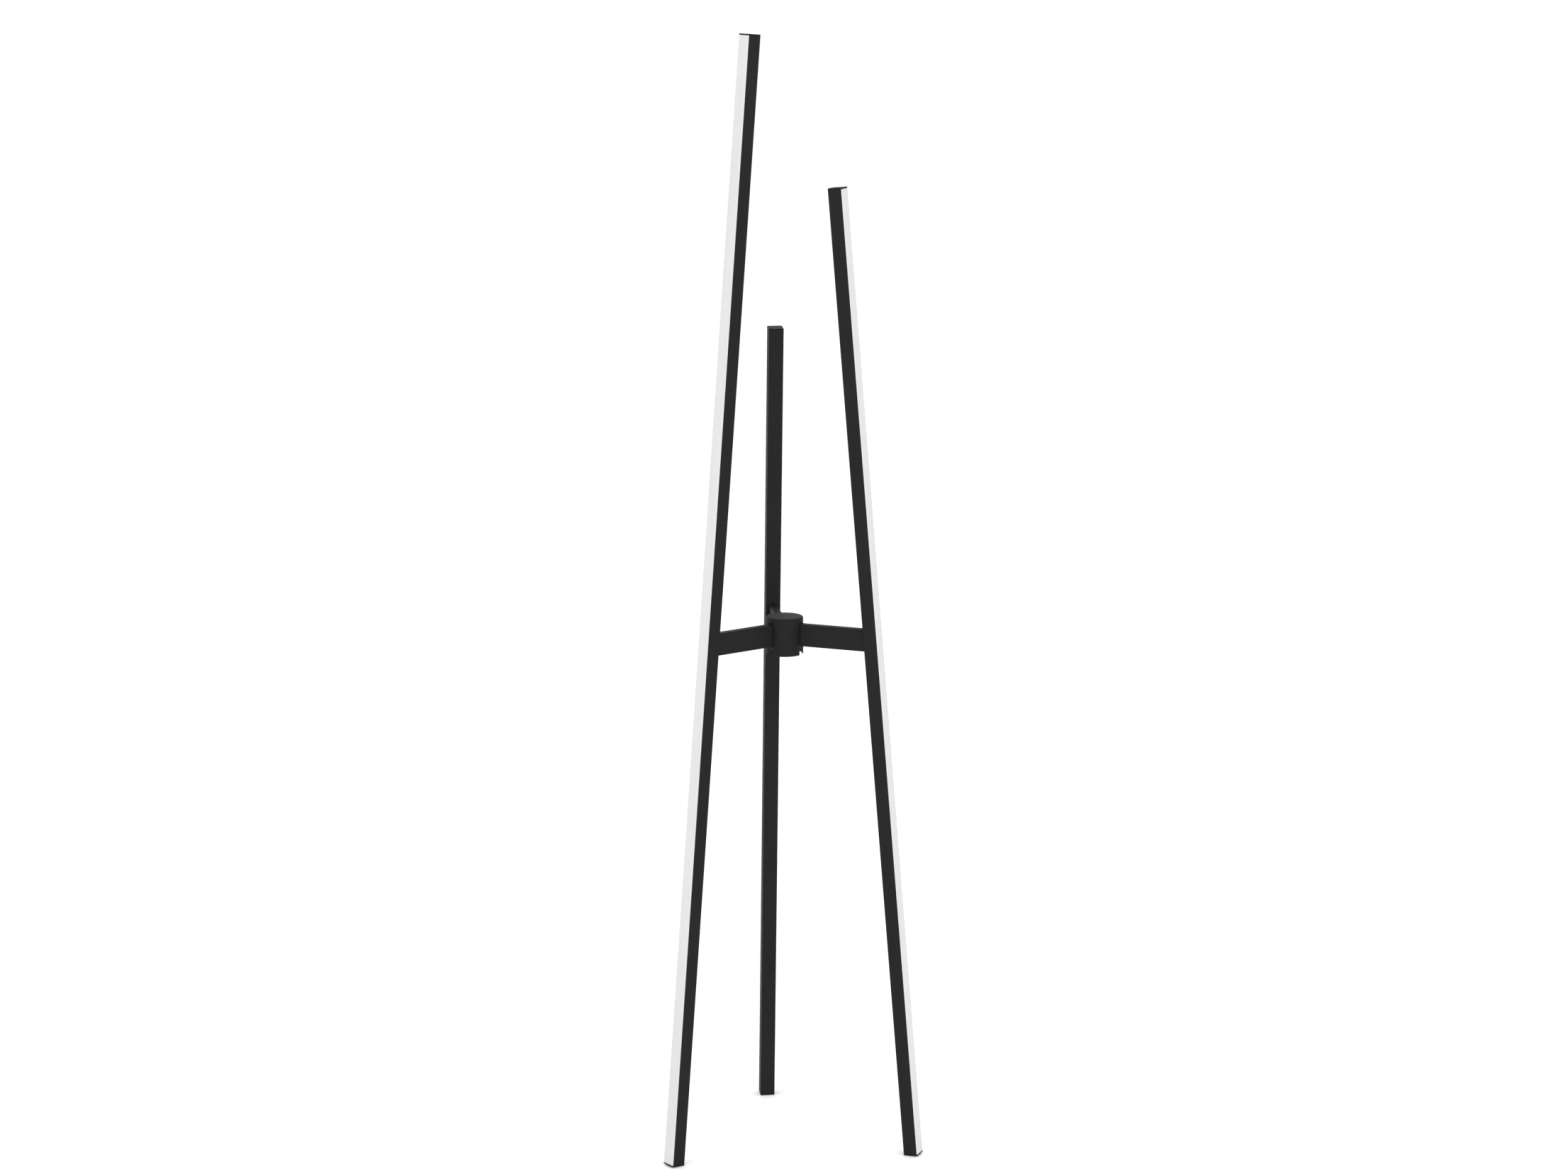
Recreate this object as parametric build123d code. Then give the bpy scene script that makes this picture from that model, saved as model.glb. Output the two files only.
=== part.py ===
from build123d import *
from math import cos, radians, tan
import os

# A free-standing floor lamp. Three slender LED bars of different lengths stand in a triangle and lean in
# towards each other. A short flat arm runs from each bar to a small round hub at mid height, which ties them
# together. Each bar is an extruded channel with an LED board inside and a snap-in diffuser along its outward
# face. The hub is a cast core that the arms plug onto, under a cover that lifts off to reach the wiring.
#
# Millimetres, +Z up. The lamp stands on z = 0 and the origin is in the middle of its footprint.
# Pieces are first built around the hub's axis, and the finished lamp is moved to its origin at the end.

# Bars
bar_lengths = {"tall": 1514, "medium": 1314, "short": 1114}
bar_azimuths = {"tall": 210, "medium": 330, "short": 90}
bar_side = 20
bar_lean = 5
foot_radius = 179
foot_lift = 0.4
edge_radius = 0.4

# Channel section, measured outwards from the bar's inner face
channel_wall = 1.5
rib_height = 1.2
rib_thickness = 1.0
carrier_depth = 9.1
carrier_thickness = 1.5
carrier_side_gap = 0.2
carrier_end_gap = 1
board_thickness = 1.0
board_width = 10
board_end_gap = 3
light_strip_height = 0.9
light_strip_width = 3.5
light_strip_radius = 0.6
light_strip_end_gap = 8
slide_gap = 0.1

# Diffuser
diffuser_thickness = 1.2
diffuser_leg_length = 4.4
diffuser_leg_thickness = 1.2
diffuser_hook_length = 1.0
diffuser_hook_height = 0.4
hook_groove_depth = 0.55
hook_groove_length = 1.2

# End caps and rubber feet
cap_thickness = 2
cap_edge_radius = 0.3
plug_length = 12
plug_gap = 0.2
pad_radius = 6
pad_recess = 0.5
pad_recess_gap = 0.1

# Arms
arm_height = 30
arm_width = 10
arm_wall = 1.5
arm_middle_z = 709.4
arm_inner_end = 12
arm_edge_radius = 0.5
arm_bottom_z = arm_middle_z - arm_height / 2
arm_top_z = arm_middle_z + arm_height / 2
cavity_floor_z = arm_bottom_z + arm_wall
cavity_width = arm_width - 2 * arm_wall
push_fit_gap = 0.1

# Threaded insert in an arm's outer end, and the screws that pull the bar onto it
insert_length = 14
insert_height = 17
bar_screw_heights = (-9.5, -0.5)
bar_screw_radius = 2
bar_screw_length = 12
bar_screw_head_radius = 3.8
bar_screw_head_height = 2.2
bar_screw_dome_radius = 1.3
screw_hole_radius = 2.05
clear_hole_radius = 2.25

# Leads from the hub to the LED boards
lead_z = arm_middle_z + 8.5
lead_radius = 0.9
lead_spacing = 3.2
lead_inner_end = 4.6
bushing_radius = 3.5
bushing_bore_radius = 2.9
bushing_flange_radius = 4.4
bushing_flange_thickness = 0.8
carrier_hole_radius = 3.5

# Hub cover
cover_radius = 25
cover_wall = 1.5
cover_top_thickness = 2
cover_bottom_z = 682
cover_top_z = 733.3
cover_edge_radius = 2.5
cover_rim_radius = 0.3
slot_side_gap = 1.3
slot_top_gap = 0.8
cover_ceiling_z = cover_top_z - cover_top_thickness
cover_bore_radius = cover_radius - cover_wall

# Hub core: a disc under the arms, a boss between them, a tongue in each and three posts under the cover
disc_radius = 22.8
disc_thickness = 3.5
boss_radius = 11.5
boss_top_z = 708
tongue_length = 34
post_radius = 3
post_circle_radius = 17.5
post_azimuths = (30, 150, 270)
post_edge_radius = 0.6
ring_section_radius = 1
ring_circle_radius = 22.2
ring_groove_gap = 0.05
block_screw_hole_gap = 0.05
disc_bottom_z = arm_bottom_z - disc_thickness

# Screws up through the disc that lock the arms onto the tongues
lock_screw_circle_radius = 17.6
lock_screw_radius = 2
lock_screw_head_radius = 3.8
lock_screw_head_height = 2.3
lock_screw_top_z = 704

# Cord entry: a hollow threaded nipple with its nut and an edge bushing
nipple_radius = 5
nipple_bore_radius = 3.5
nipple_bottom_z = 683.5
nipple_top_z = 711
nipple_hole_radius = 5.05
nut_thickness = 3
nut_across_flats = 14
cord_bushing_radius = 3.4
cord_bushing_bore_radius = 2.9
cord_bushing_length = 6.5
cord_bushing_flange_radius = 4.9
cord_bushing_flange_thickness = 1.2

# Terminal block on top of the boss, with a terminal for each lead and two for the supply
block_radius = 10
block_top_z = 724
block_edge_radius = 0.8
block_recess_top_z = 711.5
lead_hole_radius = 1.0
supply_azimuths = (30, 150)
supply_hole_inner_end = 3
supply_hole_outer_end = 8.5
terminal_circle_radius = 7.2
terminal_screw_radius = 1.1
terminal_screw_head_radius = 1.45
terminal_screw_head_height = 1.2
terminal_hole_gap = 0.1
block_screw_azimuth = 270
block_screw_radius = 1.2
block_screw_head_radius = 2.2
block_screw_head_height = 1.6
block_screw_bottom_z = 700

# Tools
hex_key_across_flats = 2.5
hex_key_depth = 1.3
slot_blade_width = 0.5
slot_blade_depth = 0.6

# Two corners nearer than this are at the same place
same_place = 0.01

bar_frame = Pos(foot_radius, 0, foot_lift) * Rot(0, -bar_lean, 0)
diffuser_seat = bar_side - diffuser_thickness
channel_half_width = bar_side / 2 - channel_wall
carrier_top = carrier_depth + carrier_thickness
board_top = carrier_top + board_thickness


# --------------------------------------------------------------------------------------------- simple shapes


def slab(x_range, y_range, z_range):
    """A box between two faces along each axis."""
    middles = [(low + high) / 2 for low, high in (x_range, y_range, z_range)]
    sizes = [high - low for low, high in (x_range, y_range, z_range)]
    return Pos(*middles) * Box(*sizes)


def rod(radius, bottom, top):
    """An upright cylinder between two heights."""
    return Pos(0, 0, bottom) * Cylinder(radius, top - bottom, align=(Align.CENTER, Align.CENTER, Align.MIN))


def rod_along_x(radius, start, end):
    """A cylinder along +X."""
    return Rot(0, 90, 0) * rod(radius, start, end)


def sleeve(radius, bore_radius, bottom, top):
    """An upright tube."""
    return rod(radius, bottom, top) - rod(bore_radius, bottom, top)


def hexagon(across_flats, bottom, top):
    """An upright hexagonal prism."""
    outline = RegularPolygon(across_flats / 2, 6, major_radius=False)
    return Pos(0, 0, bottom) * extrude(outline, amount=top - bottom)


def area(x_range, y_range):
    """A rectangle between two edges along each axis."""
    middles = [(low + high) / 2 for low, high in (x_range, y_range)]
    sizes = [high - low for low, high in (x_range, y_range)]
    return Pos(*middles) * Rectangle(*sizes)


def both_sides(x_range, y_range):
    """The same rectangle on the left and on the right of the bar's middle."""
    low, high = y_range
    return area(x_range, (low, high)) + area(x_range, (-high, -low))


def round_corners_at(section, x, radius):
    """Rounds the corners of a section that lie at one x."""
    corners = [corner for corner in section.vertices() if abs(corner.X - x) < same_place]
    return fillet(corners, radius)


def along_bar(section, start, end):
    """Extrudes a section between two distances from the bar's lower end."""
    return Pos(0, 0, start) * extrude(section, amount=end - start)


def distance_up_bar(z):
    """How far up the bar's inner face a height above the floor is."""
    return (z - foot_lift) / cos(radians(bar_lean))


def inner_face_radius(z):
    """How far the bar's inner face is from the hub's axis at one height."""
    return foot_radius - (z - foot_lift) * tan(radians(bar_lean))


def bar_and_beyond():
    """The space outwards of the bar's inner face, beside its arm and in the arm's frame."""
    middle = distance_up_bar(arm_middle_z)
    along = (middle - arm_height, middle + arm_height)
    return bar_frame * slab((0, 3 * bar_side), (-bar_side, bar_side), along)


# ----------------------------------------------------------------------------- pieces of a bar, in its frame
# x runs outwards from the bar's inner face, y across it and z up along it from its lower end.


def screw_heights_on_bar():
    """Where the bar's screws are along it."""
    return [distance_up_bar(arm_middle_z + height) for height in bar_screw_heights]


def channel(length):
    """The extruded channel, with ribs that hold the carrier and grooves that hold the diffuser."""
    section = area((0, diffuser_seat), (-bar_side / 2, bar_side / 2))
    section = round_corners_at(section, 0, edge_radius)
    section -= area((channel_wall, diffuser_seat), (-channel_half_width, channel_half_width))
    rib_reach = (channel_half_width - rib_height, channel_half_width)
    section += both_sides((carrier_depth - slide_gap - rib_thickness, carrier_depth - slide_gap), rib_reach)
    section += both_sides((carrier_top + slide_gap, carrier_top + slide_gap + rib_thickness), rib_reach)
    hook_low = diffuser_seat - diffuser_leg_length
    groove_reach = (channel_half_width, channel_half_width + hook_groove_depth)
    groove_low = hook_low + slide_gap
    section -= both_sides((groove_low, groove_low + hook_groove_length), groove_reach)
    shape = along_bar(section, cap_thickness, length - cap_thickness)
    for height in screw_heights_on_bar():
        shape -= Pos(0, 0, height) * rod_along_x(clear_hole_radius, 0, channel_wall)
    shape -= Pos(0, 0, distance_up_bar(lead_z)) * rod_along_x(bushing_radius + slide_gap, 0, channel_wall)
    return shape


def led_carrier(length):
    """The aluminium strip that slides into the channel's ribs and takes heat from the LED board."""
    half_width = channel_half_width - carrier_side_gap
    section = area((carrier_depth, carrier_top), (-half_width, half_width))
    end_gap = cap_thickness + carrier_end_gap
    shape = along_bar(section, end_gap, length - end_gap)
    hole = rod_along_x(carrier_hole_radius, carrier_depth, carrier_top)
    return shape - Pos(0, 0, distance_up_bar(lead_z)) * hole


def led_board(length):
    """The circuit board."""
    section = area((carrier_top, board_top), (-board_width / 2, board_width / 2))
    end_gap = cap_thickness + board_end_gap
    return along_bar(section, end_gap, length - end_gap)


def light_strip(length):
    """The unbroken band of phosphor over the LED chips."""
    half_width = light_strip_width / 2
    section = area((board_top, board_top + light_strip_height), (-half_width, half_width))
    section = round_corners_at(section, board_top + light_strip_height, light_strip_radius)
    end_gap = cap_thickness + light_strip_end_gap
    return along_bar(section, end_gap, length - end_gap)


def diffuser(length):
    """The opal cover, as wide as the bar, with two hooked legs that snap into the channel."""
    section = area((diffuser_seat, bar_side), (-bar_side / 2, bar_side / 2))
    section = round_corners_at(section, bar_side, edge_radius)
    leg_high = channel_half_width - slide_gap
    leg_low = leg_high - diffuser_leg_thickness
    hook_low = diffuser_seat - diffuser_leg_length
    section += both_sides((hook_low, diffuser_seat), (leg_low, leg_high))
    hook_start = hook_low + 2 * slide_gap
    hook_reach = (leg_high, leg_high + diffuser_hook_height)
    section += both_sides((hook_start, hook_start + diffuser_hook_length), hook_reach)
    return along_bar(section, cap_thickness, length - cap_thickness)


def end_cap():
    """A cap for a bar's upper end, with its outside face at z = 0 and its plug hanging below."""
    plate = Pos(bar_side / 2, 0, 0) * RectangleRounded(bar_side, bar_side, edge_radius)
    shape = extrude(plate, amount=-cap_thickness)
    shape = fillet(shape.faces().sort_by(Axis.Z)[-1].edges(), cap_edge_radius)
    half_width = channel_half_width - plug_gap
    depth = (channel_wall + plug_gap, carrier_depth - slide_gap - rib_thickness - plug_gap)
    return shape + slab(depth, (-half_width, half_width), (-cap_thickness - plug_length, -cap_thickness))


def top_cap(length):
    """The cap on the upper end."""
    return Pos(0, 0, length) * end_cap()


def bottom_cap():
    """The cap on the lower end, with a shallow seat for its rubber pad."""
    turned = Rot(180, 0, 0) * end_cap()
    seat = Pos(bar_side / 2, 0, 0) * rod(pad_radius + pad_recess_gap, 0, pad_recess)
    return turned - seat


def bar_screws():
    """The two button-head screws inside the bar that hold it on its arm."""
    head_top = channel_wall + bar_screw_head_height
    head = rod(bar_screw_head_radius, channel_wall, head_top)
    head = fillet(head.edges().sort_by(Axis.Z)[-1], bar_screw_dome_radius)
    shank = rod(bar_screw_radius, channel_wall - bar_screw_length, channel_wall)
    socket = hexagon(hex_key_across_flats, head_top - hex_key_depth, head_top)
    screw = Rot(0, 90, 0) * (head + shank - socket)
    return Compound([Pos(0, 0, height) * screw for height in screw_heights_on_bar()])


def lead_bushing():
    """The plastic bushing that lines the hole where the lead enters the bar."""
    shape = sleeve(bushing_radius, bushing_bore_radius, 0, channel_wall)
    flange_top = channel_wall + bushing_flange_thickness
    shape += sleeve(bushing_flange_radius, bushing_bore_radius, channel_wall, flange_top)
    return Pos(0, 0, distance_up_bar(lead_z)) * Rot(0, 90, 0) * shape


# ------------------------------------------------------------ pieces between the hub and a bar, arm along +X


def foot_pad():
    """The rubber pad under a bar. The bar leans, and the pad is cut level with the floor."""
    pad = bar_frame * Pos(bar_side / 2, 0, 0) * rod(pad_radius, -bar_side / 2, pad_recess)
    below_floor = slab((0, 2 * foot_radius), (-bar_side, bar_side), (-bar_side, 0))
    return pad - below_floor


def arm():
    """The flat rectangular tube from the hub to the bar, cut to the bar's lean at its outer end."""
    outline = Pos(0, arm_middle_z) * RectangleRounded(arm_width, arm_height, arm_edge_radius)
    opening = Pos(0, arm_middle_z) * Rectangle(cavity_width, arm_height - 2 * arm_wall)
    section = Plane.YZ * (outline - opening)
    uncut_length = inner_face_radius(arm_bottom_z) + arm_height - arm_inner_end
    shape = Pos(arm_inner_end, 0, 0) * extrude(section, amount=uncut_length)
    shape -= bar_and_beyond()
    lock_hole = rod(clear_hole_radius, arm_bottom_z, cavity_floor_z)
    return shape - Pos(lock_screw_circle_radius, 0, 0) * lock_hole


def arm_insert():
    """The threaded block fixed in the arm's outer end. The lead passes above it."""
    half_width = (cavity_width - push_fit_gap) / 2
    end = inner_face_radius(arm_middle_z)
    bottom = cavity_floor_z + push_fit_gap / 2
    height_range = (bottom, bottom + insert_height)
    shape = slab((end - insert_length, end + bar_side), (-half_width, half_width), height_range)
    shape -= bar_and_beyond()
    for height in screw_heights_on_bar():
        hole = rod_along_x(screw_hole_radius, -bar_screw_length, 0)
        shape -= bar_frame * Pos(0, 0, height) * hole
    return shape


def lead():
    """The two insulated wires through the arm, from the terminal block to the back of the LED board."""
    beyond = slab((carrier_top, 2 * bar_side), (-bar_side, bar_side), (0, 2 * arm_middle_z))
    uncut_end = inner_face_radius(lead_z) + bar_side
    wire = Pos(0, 0, lead_z) * rod_along_x(lead_radius, lead_inner_end, uncut_end) - bar_frame * beyond
    return Compound([Pos(0, side * lead_spacing / 2, 0) * wire for side in (-1, 1)])


# ----------------------------------------------------------------------------------------- pieces of the hub


def at_azimuths(azimuths, shape):
    """Copies of a shape turned about the hub's axis."""
    return [Rot(0, 0, azimuth) * shape for azimuth in azimuths]


def hub_cover():
    """The cover, a plain cup upside down, with a slot for each arm that runs out through its rim."""
    shape = rod(cover_radius, cover_bottom_z, cover_top_z)
    shape = fillet(shape.edges().sort_by(Axis.Z)[-1], cover_edge_radius)
    shape = fillet(shape.edges().sort_by(Axis.Z)[0], cover_rim_radius)
    shape -= rod(cover_bore_radius, cover_bottom_z, cover_ceiling_z)
    half_slot = arm_width / 2 + slot_side_gap
    slot_height = (cover_bottom_z - 1, arm_top_z + slot_top_gap)
    slot = slab((boss_radius, cover_radius + 1), (-half_slot, half_slot), slot_height)
    return shape - at_azimuths(bar_azimuths.values(), slot)


def lock_screw():
    """A countersunk screw from below, with its head flush in the disc."""
    cone = Cone(lock_screw_head_radius, lock_screw_radius, lock_screw_head_height)
    head = Pos(0, 0, disc_bottom_z + lock_screw_head_height / 2) * cone
    shank = rod(lock_screw_radius, disc_bottom_z, lock_screw_top_z)
    socket = hexagon(hex_key_across_flats, disc_bottom_z, disc_bottom_z + hex_key_depth)
    return Pos(lock_screw_circle_radius, 0, 0) * (head + shank - socket)


def lock_screw_space():
    """The hole for a lock screw through the disc and into the tongue."""
    cone = Cone(lock_screw_head_radius + slide_gap, lock_screw_radius + slide_gap, lock_screw_head_height)
    countersink = Pos(0, 0, disc_bottom_z + lock_screw_head_height / 2) * cone
    through_disc = rod(clear_hole_radius, disc_bottom_z, arm_bottom_z)
    thread = rod(screw_hole_radius, arm_bottom_z, lock_screw_top_z)
    return Pos(lock_screw_circle_radius, 0, 0) * (countersink + through_disc + thread)


def hub_core():
    """The casting that the arms plug onto. The cover comes down onto its three posts."""
    shape = rod(disc_radius, disc_bottom_z, arm_bottom_z)
    shape += rod(boss_radius, disc_bottom_z, boss_top_z)
    half_width = (cavity_width - push_fit_gap) / 2
    tongue_bottom = cavity_floor_z + push_fit_gap / 2
    tongue = slab((boss_radius / 2, tongue_length), (-half_width, half_width), (tongue_bottom, boss_top_z))
    for one_tongue in at_azimuths(bar_azimuths.values(), tongue):
        shape += one_tongue
    post = rod(post_radius, disc_bottom_z, cover_ceiling_z)
    post = Pos(post_circle_radius, 0, 0) * fillet(post.edges().sort_by(Axis.Z)[-1], post_edge_radius)
    for one_post in at_azimuths(post_azimuths, post):
        shape += one_post
    groove_height = (disc_bottom_z + arm_bottom_z) / 2
    shape -= Pos(0, 0, groove_height) * Torus(ring_circle_radius, ring_section_radius + ring_groove_gap)
    for space in at_azimuths(bar_azimuths.values(), lock_screw_space()):
        shape -= space
    shape -= rod(nipple_hole_radius, disc_bottom_z, boss_top_z)
    block_screw_hole = rod(block_screw_radius + block_screw_hole_gap, block_screw_bottom_z, boss_top_z)
    return shape - Rot(0, 0, block_screw_azimuth) * Pos(terminal_circle_radius, 0, 0) * block_screw_hole


def hub_ring():
    """The rubber ring round the disc that steadies the cover."""
    return Pos(0, 0, (disc_bottom_z + arm_bottom_z) / 2) * Torus(ring_circle_radius, ring_section_radius)


def cord_nipple():
    """The hollow threaded tube up through the core that the supply cord comes in by."""
    return sleeve(nipple_radius, nipple_bore_radius, nipple_bottom_z, nipple_top_z)


def nipple_nut():
    """The flat hexagonal nut under the disc."""
    nut = hexagon(nut_across_flats, disc_bottom_z - nut_thickness, disc_bottom_z)
    return nut - rod(nipple_hole_radius, disc_bottom_z - nut_thickness, disc_bottom_z)


def cord_bushing():
    """The plastic bushing in the nipple's lower end that the cord passes through."""
    top = nipple_bottom_z + cord_bushing_length
    flange_bottom = nipple_bottom_z - cord_bushing_flange_thickness
    body = sleeve(cord_bushing_radius, cord_bushing_bore_radius, nipple_bottom_z, top)
    flange = sleeve(cord_bushing_flange_radius, cord_bushing_bore_radius, flange_bottom, nipple_bottom_z)
    return body + flange


def terminal_positions():
    """Where the terminals are: two for each arm's lead, and one for each supply wire."""
    places = [Rot(0, 0, azimuth) * Pos(terminal_circle_radius, 0, 0) for azimuth in supply_azimuths]
    for azimuth in bar_azimuths.values():
        for side in (-1, 1):
            places.append(Rot(0, 0, azimuth) * Pos(terminal_circle_radius, side * lead_spacing / 2, 0))
    return places


def terminal_block():
    """The round moulded block that joins the three leads to the supply."""
    shape = rod(block_radius, boss_top_z, block_top_z)
    shape = fillet(shape.edges().sort_by(Axis.Z)[-1], block_edge_radius)
    shape -= rod(nipple_hole_radius + slide_gap, boss_top_z, block_recess_top_z)
    shape -= rod(nipple_bore_radius, boss_top_z, block_top_z)
    lead_hole = Pos(0, 0, lead_z) * rod_along_x(lead_hole_radius, lead_inner_end, block_radius + 1)
    for side in (-1, 1):
        hole = Pos(0, side * lead_spacing / 2, 0) * lead_hole
        for one_hole in at_azimuths(bar_azimuths.values(), hole):
            shape -= one_hole
    supply_hole = rod_along_x(lead_hole_radius, supply_hole_inner_end, supply_hole_outer_end)
    for one_hole in at_azimuths(supply_azimuths, Pos(0, 0, lead_z) * supply_hole):
        shape -= one_hole
    screw_space = rod(terminal_screw_radius + terminal_hole_gap, lead_z, block_top_z)
    head_space_bottom = block_top_z - terminal_screw_head_height - terminal_hole_gap
    screw_space += rod(terminal_screw_head_radius + terminal_hole_gap / 2, head_space_bottom, block_top_z)
    for place in terminal_positions():
        shape -= place * screw_space
    fixing_space = rod(block_screw_radius + terminal_hole_gap, boss_top_z, block_top_z)
    fixing_head_bottom = block_top_z - block_screw_head_height
    fixing_space += rod(block_screw_head_radius + terminal_hole_gap, fixing_head_bottom, block_top_z)
    return shape - Rot(0, 0, block_screw_azimuth) * Pos(terminal_circle_radius, 0, 0) * fixing_space


def slotted_screw(radius, head_radius, head_height, bottom, top):
    """A cheese-head screw with a straight slot."""
    shape = rod(radius, bottom, top) + rod(head_radius, top - head_height, top)
    half_blade = slot_blade_width / 2
    slot = slab((-head_radius, head_radius), (-half_blade, half_blade), (top - slot_blade_depth, top))
    return shape - slot


def terminal_screws():
    """The screws that clamp the wires in the terminals."""
    head = (terminal_screw_head_radius, terminal_screw_head_height)
    screw = slotted_screw(terminal_screw_radius, *head, lead_z + lead_radius, block_top_z)
    return Compound([place * screw for place in terminal_positions()])


def block_screw():
    """The screw that fixes the terminal block to the boss."""
    head = (block_screw_head_radius, block_screw_head_height)
    screw = slotted_screw(block_screw_radius, *head, block_screw_bottom_z, block_top_z)
    return Rot(0, 0, block_screw_azimuth) * Pos(terminal_circle_radius, 0, 0) * screw


# -------------------------------------------------------------------------------------------- the whole lamp


def bar_pieces(name, length):
    """Every piece of one bar and its arm, as if the arm lay along +X."""
    in_bar_frame = {
        "channel": channel(length),
        "led_carrier": led_carrier(length),
        "led_board": led_board(length),
        "light_strip": light_strip(length),
        "diffuser": diffuser(length),
        "top_cap": top_cap(length),
        "bottom_cap": bottom_cap(),
        "bar_screws": bar_screws(),
        "lead_bushing": lead_bushing(),
    }
    pieces = {piece: bar_frame * shape for piece, shape in in_bar_frame.items()}
    pieces["foot_pad"] = foot_pad()
    pieces["arm"] = arm()
    pieces["arm_insert"] = arm_insert()
    pieces["lead"] = lead()
    return {f"{name}_{piece}": shape for piece, shape in pieces.items()}


def lamp_pieces():
    """Every piece of the lamp, around the hub's axis."""
    pieces = {
        "hub_cover": hub_cover(),
        "hub_core": hub_core(),
        "hub_ring": hub_ring(),
        "arm_lock_screws": Compound(at_azimuths(bar_azimuths.values(), lock_screw())),
        "cord_nipple": cord_nipple(),
        "nipple_nut": nipple_nut(),
        "cord_bushing": cord_bushing(),
        "terminal_block": terminal_block(),
        "terminal_screws": terminal_screws(),
        "terminal_block_screw": block_screw(),
    }
    for name, length in bar_lengths.items():
        for piece, shape in bar_pieces(name, length).items():
            pieces[piece] = Rot(0, 0, bar_azimuths[name]) * shape
    return pieces


def footprint_middle(pieces):
    """The middle of the rectangle that the whole lamp covers, seen from above."""
    boxes = [shape.bounding_box() for shape in pieces.values()]
    x_middle = (min(box.min.X for box in boxes) + max(box.max.X for box in boxes)) / 2
    y_middle = (min(box.min.Y for box in boxes) + max(box.max.Y for box in boxes)) / 2
    return Pos(x_middle, y_middle, 0)


lamp = lamp_pieces()
to_origin = footprint_middle(lamp).inverse()
os.makedirs("parts", exist_ok=True)
for node, piece in lamp.items():
    export_step(to_origin * piece, f"parts/{node}.step")
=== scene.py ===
"""Three-bar LED floor lamp on a pale studio floor. Metres, in the CAD frame, standing on z = 0."""
from math import cos, pi, radians, sin, tan

import bmesh
import bpy
from mathutils import Matrix, Vector


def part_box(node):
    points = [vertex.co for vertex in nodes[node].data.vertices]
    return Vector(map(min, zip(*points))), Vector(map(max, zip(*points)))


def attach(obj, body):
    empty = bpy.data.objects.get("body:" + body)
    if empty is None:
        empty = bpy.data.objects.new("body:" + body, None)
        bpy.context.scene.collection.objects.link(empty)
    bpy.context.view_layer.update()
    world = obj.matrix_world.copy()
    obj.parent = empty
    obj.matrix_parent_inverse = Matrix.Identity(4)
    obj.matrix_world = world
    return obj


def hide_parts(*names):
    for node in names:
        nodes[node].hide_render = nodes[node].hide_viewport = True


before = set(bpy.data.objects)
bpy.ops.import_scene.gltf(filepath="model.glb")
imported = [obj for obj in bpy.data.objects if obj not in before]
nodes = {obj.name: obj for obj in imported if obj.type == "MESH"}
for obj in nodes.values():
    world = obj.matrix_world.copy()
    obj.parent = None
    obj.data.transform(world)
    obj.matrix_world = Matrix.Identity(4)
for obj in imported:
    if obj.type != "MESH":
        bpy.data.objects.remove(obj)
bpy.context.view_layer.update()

MM = 0.001
BAR_LENGTHS = {"tall": 1514 * MM, "medium": 1314 * MM, "short": 1114 * MM}
BAR_AZIMUTHS = {"tall": 210, "medium": 330, "short": 90}
BAR_LEAN = radians(5)
BAR_SIDE = 20 * MM
FOOT_RADIUS = 179 * MM
FOOT_LIFT = 0.4 * MM
LAMP_MIDDLE = 0.75

# Meshes: which points and faces are joined, which edges are sharp, and how finely curves are cut
MERGE_DISTANCE = 0.001 * MM
FLAT_ANGLE = radians(0.5)
SHARP_ANGLE = radians(35)
SOFTENED_ANGLE = radians(40)
ROUND_STEPS = 72
CORNER_STEPS = 4

# How much of an outline's side a rounded corner may take up
CORNER_SHARE = 0.45

cover_low, cover_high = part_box("hub_cover")
HUB_X = (cover_low.x + cover_high.x) / 2
HUB_Y = (cover_low.y + cover_high.y) / 2

# Rubber feet
PAD_RADIUS = 6 * MM
PAD_TOP = 0.5 * MM
PAD_EDGE = 0.35 * MM
PAD_GROOVE_RADII = (2.2 * MM, 3.6 * MM)
PAD_GROOVE_WIDTH = 0.6 * MM
PAD_GROOVE_DEPTH = 0.25 * MM
PAD_FACE_STEPS = 60
PAD_EDGE_STEPS = 2
PAD_EDGE_TURNS = (0, 22.5, 45, 67.5, 90)

# LED boards: the face that carries the light strip, and what sits beside the strip
BOARD_BACK = 10.6 * MM
BOARD_FACE = 11.6 * MM
BOARD_WIDTH = 10 * MM
BOARD_END_GAP = 5 * MM
BOARD_SEGMENT = 50 * MM
RESISTOR_SIZE = (0.45 * MM, 1.25 * MM, 2.0 * MM)
RESISTOR_OFFSET = 3.3 * MM
PAD_SIZE = (0.06 * MM, 1.6 * MM, 2.4 * MM)
PAD_OFFSET = 3.7 * MM
BOARD_SOFTENING = 0.15 * MM
RESISTOR_SOFTENING = 0.08 * MM
TINNED_PAD_SOFTENING = 0.02 * MM

# Leads: a pair of wires along each arm
LEAD_Z = 717.9 * MM
LEAD_SPACING = 3.2 * MM
LEAD_RADIUS = 0.9 * MM
LEAD_INNER_END = 4.6 * MM
LEAD_SKIN_START = 7.0 * MM
STRAND_RADIUS = 0.2 * MM
STRAND_TWIST = 9 * MM
STRAND_STEPS = 12
OUTER_STRANDS = 6
LEAD_STEPS = 24
LEAD_END_ROUNDING = 0.15 * MM

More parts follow.
